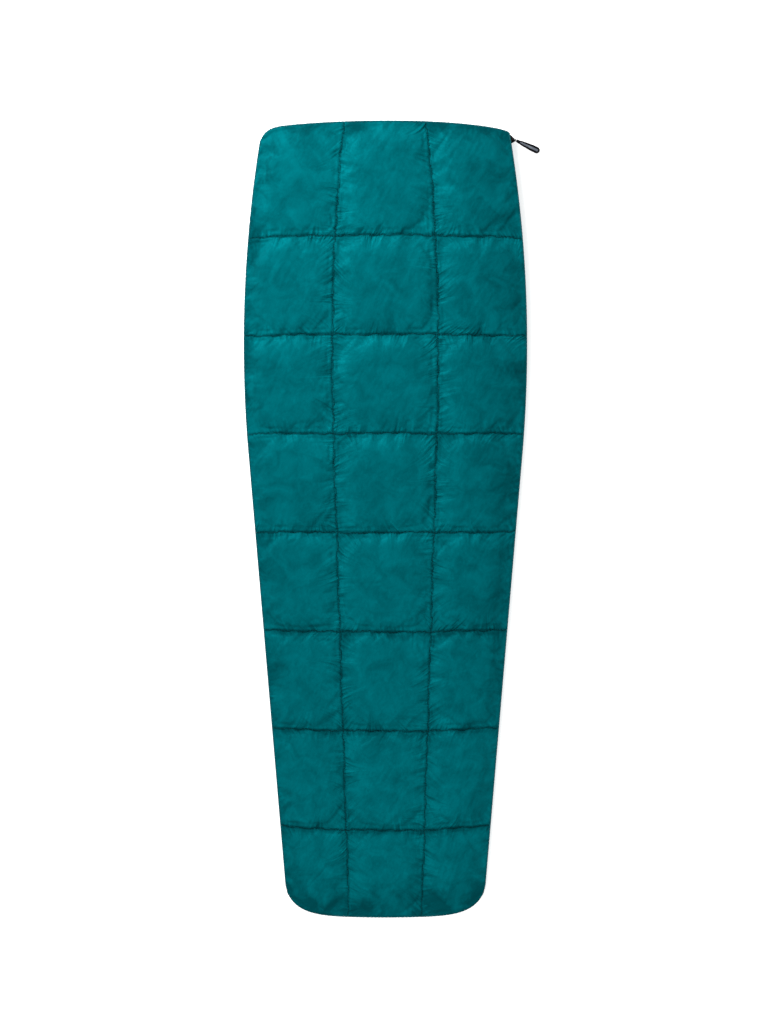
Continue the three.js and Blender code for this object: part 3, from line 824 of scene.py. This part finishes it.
def add_zip_tape(half, side):
    """The half's woven tape, standing inside the edge, with the coil on its outer face."""
    levels = np.array([0.8, 1.6, 2.6, 3.6, 4.7, 5.7]) * MM
    offsets = np.array([-0.7, -0.7, -0.75, -0.8, -0.9, -1.2]) * MM
    rows = sorted(zip(offsets, side * levels), key=lambda row: row[1])
    tape = band_on_edge(f"{half}_zip_tape_weave", ZIP_PATH, 1, rows, 0.55 * MM, TAPE)
    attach(tape, f"{half}_half")
    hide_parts(f"{half}_zip_tape")


def add_zip_coil(half, side):
    """The half's coil: one monofilament wound flat, whose loops lie between the other half's."""
    turns = int(distance_along(ZIP_PATH)[-1] / COIL_PITCH) - 1
    per_turn, sides = 10, 6
    step = COIL_PITCH / per_turn
    path = evened(ZIP_PATH, step)
    shift = per_turn // 2 if side < 0 else 0
    path = path[shift : shift + turns * per_turn]
    angle = 2 * math.pi * np.arange(len(path)) / per_turn
    ring = 2 * math.pi * np.arange(sides) / sides
    radial = 0.36 * MM * np.cos(ring)[None, :]
    offset = 0.45 * MM + (0.72 * MM + radial) * np.cos(angle)[:, None]
    level = side * (1.05 * MM + (1.2 * MM + radial) * np.sin(angle)[:, None])
    sections = beside(path, 1, offset, level)
    along = unit(np.gradient(path, axis=0))
    sections[..., :2] += along[:, None, :] * (0.36 * MM * np.sin(ring))[None, :, None]
    vertices, faces = tube(sections, closed=False)
    coil = new_piece(f"{half}_zip_teeth", vertices, faces if side < 0 else [f[::-1] for f in faces], COIL)
    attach(coil, f"{half}_half")
    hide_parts(f"{half}_zip_coil")


def add_side_band():
    """The band sewn over the left edges. It is the quilt's hinge: its middle stretches flat when it opens."""
    path = evened(side_path(-1, HEAD_Y - 0.100, ZIP_END_X - 0.002), 6 * MM)
    levels = np.array([-5.9, -5.2, -4.2, -3.5, 3.5, 4.2, 5.2, 5.9]) * MM
    # the inner face's middle is narrower, so that the two faces lie apart once it is flat
    inner_levels = np.array([-5.9, -5.2, -4.2, -2.7, 2.7, 4.2, 5.2, 5.9]) * MM
    offsets = np.array([-1.1, -0.75, -0.6, -0.5, -0.5, -0.6, -0.75, -1.1]) * MM
    rows = list(zip(offsets, levels))
    band = band_on_edge("left_side_band", path, -1, rows, 0.5 * MM, BINDING, inner_levels)
    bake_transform(band)
    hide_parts("left_seam_strip")


# ---- slider and pull ----


def joined(*parts):
    """One list of vertices and one of faces from several (vertices, faces) pairs."""
    vertices, faces, first = [], [], 0
    for points, polygons in parts:
        vertices.append(np.asarray(points, float))
        faces += [tuple(first + k for k in polygon) for polygon in polygons]
        first += len(points)
    return np.concatenate(vertices), faces


def bevelled_plate(outline, thickness, width, place):
    """A plate with rounded edges, from its outline in its own plane. place puts its points in space."""
    mesh = bmesh.new()
    loop = [mesh.verts.new((x, y, -thickness / 2)) for x, y in outline]
    face = mesh.faces.new(loop)
    extruded = bmesh.ops.extrude_face_region(mesh, geom=[face])["geom"]
    top = [part for part in extruded if isinstance(part, bmesh.types.BMVert)]
    bmesh.ops.translate(mesh, verts=top, vec=(0, 0, thickness))
    bmesh.ops.recalc_face_normals(mesh, faces=mesh.faces)
    rim = [e for e in mesh.edges if abs(e.verts[0].co.z - e.verts[1].co.z) < 1e-9]
    bmesh.ops.bevel(mesh, geom=rim, offset=width, segments=3, profile=0.6, affect="EDGES")
    mesh.verts.index_update()
    vertices = [place @ v.co for v in mesh.verts]
    faces = [tuple(v.index for v in f.verts) for f in mesh.faces]
    mesh.free()
    return vertices, faces


def rounded(corners, radius, steps=5):
    """A closed outline with its corners rounded off."""
    points = []
    for k, corner in enumerate(corners):
        corner = Vector(corner)
        before = (Vector(corners[k - 1]) - corner).normalized()
        after = (Vector(corners[(k + 1) % len(corners)]) - corner).normalized()
        half_angle = before.angle(after) / 2
        reach = radius / math.tan(half_angle)
        centre = corner + (before + after).normalized() * radius / math.sin(half_angle)
        start, end = corner + before * reach - centre, corner + after * reach - centre
        sweep = start.angle_signed(end)
        for step in range(steps + 1):
            turn = -sweep * step / steps
            c, d = math.cos(turn), math.sin(turn)
            points.append(tuple(centre + Vector((start.x * c - start.y * d, start.x * d + start.y * c))))
    return points


def wire(outline, place, flat=1.0, sides=10):
    """A closed loop of wire along an outline in its own plane."""
    path = np.array(outline)
    out = outward(path)
    ring = 2 * math.pi * np.arange(sides) / sides
    plan = path[:, None] + out[:, None] * (WIRE_RADIUS * np.cos(ring))[:, None]
    level = np.broadcast_to(flat * WIRE_RADIUS * np.sin(ring), (len(path), sides))
    vertices, faces = tube(np.concatenate([plan, level[..., None]], -1))
    return [place @ Vector(v) for v in vertices], [f[::-1] for f in faces]


def basis(x_axis, y_axis, origin=(0, 0, 0)):
    """The placement whose X and Y axes lie along the directions given."""
    x_axis, y_axis = Vector(x_axis), Vector(y_axis)
    turn = Matrix((x_axis, y_axis, x_axis.cross(y_axis))).transposed()
    return Matrix.Translation(origin) @ turn.to_4x4()


def add_slider():
    """The slider: two plates with turned-in rims, the blade between them, and the bail for the link."""
    half, mouth, rear = SLIDER_LENGTH / 2, 4.5 * MM, 3.2 * MM
    shape = [(-half, -rear), (half - 2 * MM, -mouth), (half, -mouth + 1.5 * MM)]
    shape += [(half, mouth - 1.5 * MM), (half - 2 * MM, mouth), (-half, rear)]
    shape = rounded(shape, 0.7 * MM, 3)
    # plates stand across the slider's own X; their shape's X runs along the zip and its Y up
    parts = [
        bevelled_plate(shape, 0.8 * MM, 0.22 * MM, SLIDER_PLACE @ basis((0, 1, 0), (0, 0, 1), (x, 0, 0)))
        for x in (2.1 * MM, -1.8 * MM)
    ]
    blade = [(-1.9 * MM, 3 * MM), (2.1 * MM, 3 * MM), (2.1 * MM, 5.5 * MM), (-1.9 * MM, 5.5 * MM)]
    parts.append(bevelled_plate(rounded(blade, 0.3 * MM, 2), 0.6 * MM, 0.12 * MM, SLIDER_PLACE))
    # the plates' rims turn in towards the tapes above and below the coil
    for x in (1.45 * MM, -1.2 * MM):
        for up in (-1, 1):
            lip = [(-half + 0.6 * MM, up * 2.9 * MM), (half - 2.2 * MM, up * 4.0 * MM)]
            lip += [(half - 2.2 * MM, up * 4.4 * MM), (-half + 0.6 * MM, up * 3.2 * MM)]
            if up < 0:
                lip.reverse()
            place = SLIDER_PLACE @ basis((0, 1, 0), (0, 0, 1), (x, 0, 0))
            parts.append(bevelled_plate(lip, 0.6 * MM, 0.08 * MM, place))
    # the bail: a strap arched out from the outer plate, with the link's bar under it
    arch = [(1.9 * MM, -3.8 * MM), (5.2 * MM, -3.6 * MM), (6.5 * MM, -2.2 * MM)]
    arch += [(6.5 * MM, 2.2 * MM), (5.2 * MM, 3.6 * MM), (1.9 * MM, 3.8 * MM)]
    inside = [(1.9 * MM, 2.9 * MM), (4.9 * MM, 2.75 * MM), (5.6 * MM, 1.9 * MM)]
    inside += [(5.6 * MM, -1.9 * MM), (4.9 * MM, -2.75 * MM), (1.9 * MM, -2.9 * MM)]
    parts.append(bevelled_plate(arch + inside, 1.8 * MM, 0.2 * MM, SLIDER_PLACE))
    slider = new_piece("slider_body", *joined(*parts), SLIDER, smooth=False)
    soften(slider)
    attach(slider, "zip_slider")
    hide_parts("zip_slider_body")


def soften(piece):
    """Smooth shading that keeps sharp corners sharp."""
    piece.data.shade_smooth()
    piece.data.set_sharp_from_angle(angle=math.radians(35))


def add_pull_link():
    """The loop of wire that joins the tab to the slider."""
    x0, x1, z1 = 0, LINK_LENGTH - WIRE_RADIUS, 3.6 * MM
    loop = rounded([(x0, -z1), (x1, -z1), (x1, z1), (x0, z1)], 1.4 * MM)
    upright = PULL_PLACE @ basis((1, 0, 0), (0, 0, 1))
    link = new_piece("link_loop", *wire(loop, upright), SLIDER)
    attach(link, "zip_link")
    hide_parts("zip_pull_link")


def tab_half_width(x):
    """The tab's half width along the pull: it widens from its neck to its round end."""
    half_widths = [TAB_NECK_HALF_WIDTH, TAB_SHOULDER_HALF_WIDTH, TAB_HALF_WIDTH]
    widening = np.interp(x, [TAB_NECK, TAB_SHOULDER, TAB_WIDEST], half_widths)
    end = np.sqrt(np.maximum(0, TAB_HALF_WIDTH**2 - np.maximum(0, x - (PULL_REACH - TAB_HALF_WIDTH)) ** 2))
    return np.minimum(widening, np.maximum(end, 0.15 * MM))


def add_pull_tab():
    """A rubber tab moulded over a looped tape, with a raised rim round a paler inset on both faces."""
    end_centre = PULL_REACH - TAB_HALF_WIDTH
    near = np.linspace(TAB_START, end_centre, 40)
    turn = np.linspace(0, math.pi / 2, 14)[1:]
    x = np.concatenate([near, PULL_REACH - TAB_HALF_WIDTH * (1 - np.sin(turn))])
    width = tab_half_width(x)
    thick = np.interp(x, [TAB_START, 16 * MM], [0.9 * MM, 1.6 * MM])
    thick = np.minimum(thick, 0.5 * MM + width)
    pocket = np.clip((x - 22 * MM) / (1.5 * MM), 0, 1)
    pocket = pocket * np.clip((PULL_REACH - TAB_RIM - x) / (0.8 * MM), 0, 1)
    inside = np.sqrt(np.maximum(0, (TAB_HALF_WIDTH - TAB_RIM) ** 2 - np.maximum(0, x - end_centre) ** 2))
    inside = np.maximum(0.1 * MM, np.minimum(TAB_INSET_SHARE * width, inside))
    depth = 0.55 * MM * pocket
    # a quarter of a section, from the middle of the top round to the side
    quarter = [
        (0 * x, thick - depth),
        (inside - 0.1 * MM, thick - depth),
        (inside + 0.1 * MM, thick - 0.2 * depth),
        (inside + 0.35 * MM, thick),
        (np.maximum(width - 0.9 * MM, 0.6 * width), thick),
        (width - 0.25 * MM * (width > 0.5 * MM), thick - 0.3 * MM),
        (width, thick - 0.9 * MM),
    ]
    right = quarter + [(w, -t) for w, t in reversed(quarter)]
    ring = right + [(-w, t) for w, t in reversed(right[1:-1])]
    sections = np.stack([np.stack([x, w, t], -1) for w, t in ring], 1)
    body = tube(sections, closed=False)
    body = ([PULL_PLACE @ Vector(p) for p in body[0]], body[1])
    eye = [(8.6 * MM, -2 * MM), (15 * MM, -2 * MM), (15 * MM, 2 * MM), (8.6 * MM, 2 * MM)]
    eye = wire(rounded(eye, 1.1 * MM), PULL_PLACE, flat=1.5)
    tab = new_piece("pull_tab_rubber", *joined(body, eye), RUBBER)
    soften(tab)
    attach(tab, "zip_tab")
    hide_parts("zip_pull_tab")
    add_inset(x, inside, thick)


def add_inset(x, inside, thick):
    """The pale inset that shows in both faces: a slightly domed plate with fine cross ribs."""
    here = (x > 23.6 * MM) & (x < PULL_REACH - 5.0 * MM)
    fine = np.linspace(x[here][0], x[here][-1], 150)
    width = np.interp(fine, x[here], inside[here]) - 0.15 * MM
    width = width * np.clip((fine - fine[0]) / (2 * MM), 0.25, 1) ** 0.5
    ribs = 0.06 * MM * np.cos(2 * math.pi * fine / (1.6 * MM))
    level = np.interp(fine, x[here], thick[here]) - 0.28 * MM + ribs
    shares = np.array([1.0, 0.9, 0.5, 0.0])
    rise = np.array([-0.25, 0.0, 0.08, 0.12]) * MM
    right = [(w * width, level + r) for w, r in zip(shares, rise)]
    top = right[:-1][::-1]
    side = top + [(w, -t) for w, t in reversed(top)]
    ring = [(0 * width, level + rise[-1]), *side]
    ring += [(0 * width, -level - rise[-1]), *[(-w, t) for w, t in reversed(side)]]
    sections = np.stack([np.stack([fine, w, t], -1) for w, t in ring], 1)
    vertices, faces = tube(sections, closed=False)
    inset = new_piece("pull_tab_inset", [PULL_PLACE @ Vector(p) for p in vertices], faces, INSET)
    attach(inset, "zip_tab")


def add_zip_guard():
    """The black tape end that is folded to a point at the top of the zip, on the lower half."""
    top, low, tip = Vector((0.3098, 0.868)), Vector((0.3118, 0.841)), Vector((0.3259, 0.8507))
    rows, columns = 15, 13
    points = []
    for k in range(rows):
        t = k / (rows - 1)
        for j in range(columns):
            s = j / (columns - 1)
            base = low.lerp(top, s) + Vector((-0.0022, 0)) * (1 - t)
            bowed = base.lerp(tip, t) + Vector((0, 0.0002)) * math.sin(math.pi * t) * (2 * s - 1)
            sag = -5.8 * MM - 3.0 * MM * t - 0.5 * MM * math.sin(math.pi * s) * (1 - t)
            points.append((bowed.x, bowed.y, MID_Z + sag))
    thick = 0.9 * MM
    points = np.array(points)
    vertices = np.concatenate([points, points - [0, 0, thick]])
    edge = border_of(np.arange(rows * columns).reshape(rows, columns))
    after = np.roll(edge, -1)
    wall = np.stack([edge, edge + len(points), after + len(points), after], -1)
    upper, under = grid_faces(rows, columns), grid_faces(rows, columns, flip=True) + len(points)
    faces = np.concatenate([upper, under, wall])
    guard = new_piece("zip_top_guard", vertices, faces, GUARD)
    soften(guard)
    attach(guard, "lower_half")


ZIP_PATH = evened(side_path(1, ZIP_TOP_Y, ZIP_END_X), 4 * MM)
SLIDER_TURN = math.asin((SLIDER_Y - SHOULDER_Y) / SIDE_RADIUS)
SLIDER_MIDDLE = Vector((float(side_x(SLIDER_Y)), SLIDER_Y, MID_Z))
SLIDER_PLACE = Matrix.Translation(SLIDER_MIDDLE) @ Matrix.Rotation(SLIDER_TURN, 4, "Z")
PULL_PLACE = (
    SLIDER_PLACE
    @ Matrix.Translation((PULL_PIN_X, 0, 0))
    @ Matrix.Rotation(PULL_YAW - SLIDER_TURN, 4, "Z")
    @ Matrix.Rotation(PULL_DROOP, 4, "Y")
)


def build_zip():
    for half, side in HALVES:
        add_zip_tape(half, side)
        add_zip_coil(half, side)
    add_side_band()
    add_slider()
    add_pull_link()
    add_pull_tab()
    add_zip_guard()


blown = blown_fabric()
fabrics = {half: Fabric(blown, FABRIC_SEED + number) for number, (half, side) in enumerate(HALVES)}
for number, (half, side) in enumerate(HALVES):
    add_skin(half, side, fabrics[half], "shell", SHELL)
    add_skin(half, side, fabrics[half], "lining", LINING)
    add_down(half, side, fabrics[half])
    add_stitching(half, side, fabrics[half])
    add_binding(half, side, fabrics[half], BINDING_SEED + number)
build_zip()


# ---- the studio ----

VIEW_CENTRE = Vector((-0.0023, -0.0746, 0.03))
VIEW_HEIGHT = 2.547
LENS, SENSOR = 120.0, 36.0
FLOOR_REACH, FLOOR_Z = 40, -1 * MM
WORLD_STRENGTH = 0.55


def area_light(name, place, target, size, power):
    light = bpy.data.lights.new(name, "AREA")
    light.shape = "RECTANGLE"
    light.size, light.size_y = size
    light.energy = power
    lamp = bpy.data.objects.new(name, light)
    lamp.location = place
    lamp.rotation_euler = (Vector(target) - Vector(place)).to_track_quat("-Z", "Y").to_euler()
    lamp.visible_camera = False
    bpy.context.collection.objects.link(lamp)


def build_studio():
    corners = [(FLOOR_REACH * x, FLOOR_REACH * y, FLOOR_Z) for x, y in ((-1, -1), (1, -1), (1, 1), (-1, 1))]
    floor = new_piece("floor", corners, [(0, 1, 2, 3)], FLOOR)
    scene = bpy.context.scene
    scene.view_settings.view_transform = "Standard"
    world = bpy.data.worlds.new("studio")
    world.use_nodes = True
    world.node_tree.nodes["Background"].inputs["Color"].default_value = (1, 1, 1, 1)
    world.node_tree.nodes["Background"].inputs["Strength"].default_value = WORLD_STRENGTH
    scene.world = world
    area_light("key", (-1.0, 1.7, 1.3), (0, 0.45, 0), (1.2, 1.2), 64)
    area_light("fill", (-0.3, -1.2, 1.9), (0, -0.8, 0), (0.8, 0.8), 16)
    camera = bpy.data.objects.new("camera", bpy.data.cameras.new("camera"))
    camera.data.lens, camera.data.sensor_width = LENS, SENSOR
    camera.location = VIEW_CENTRE + Vector((0, 0, VIEW_HEIGHT / SENSOR * LENS))
    camera.data.clip_end = 100
    bpy.context.collection.objects.link(camera)
    scene.camera = camera


build_studio()
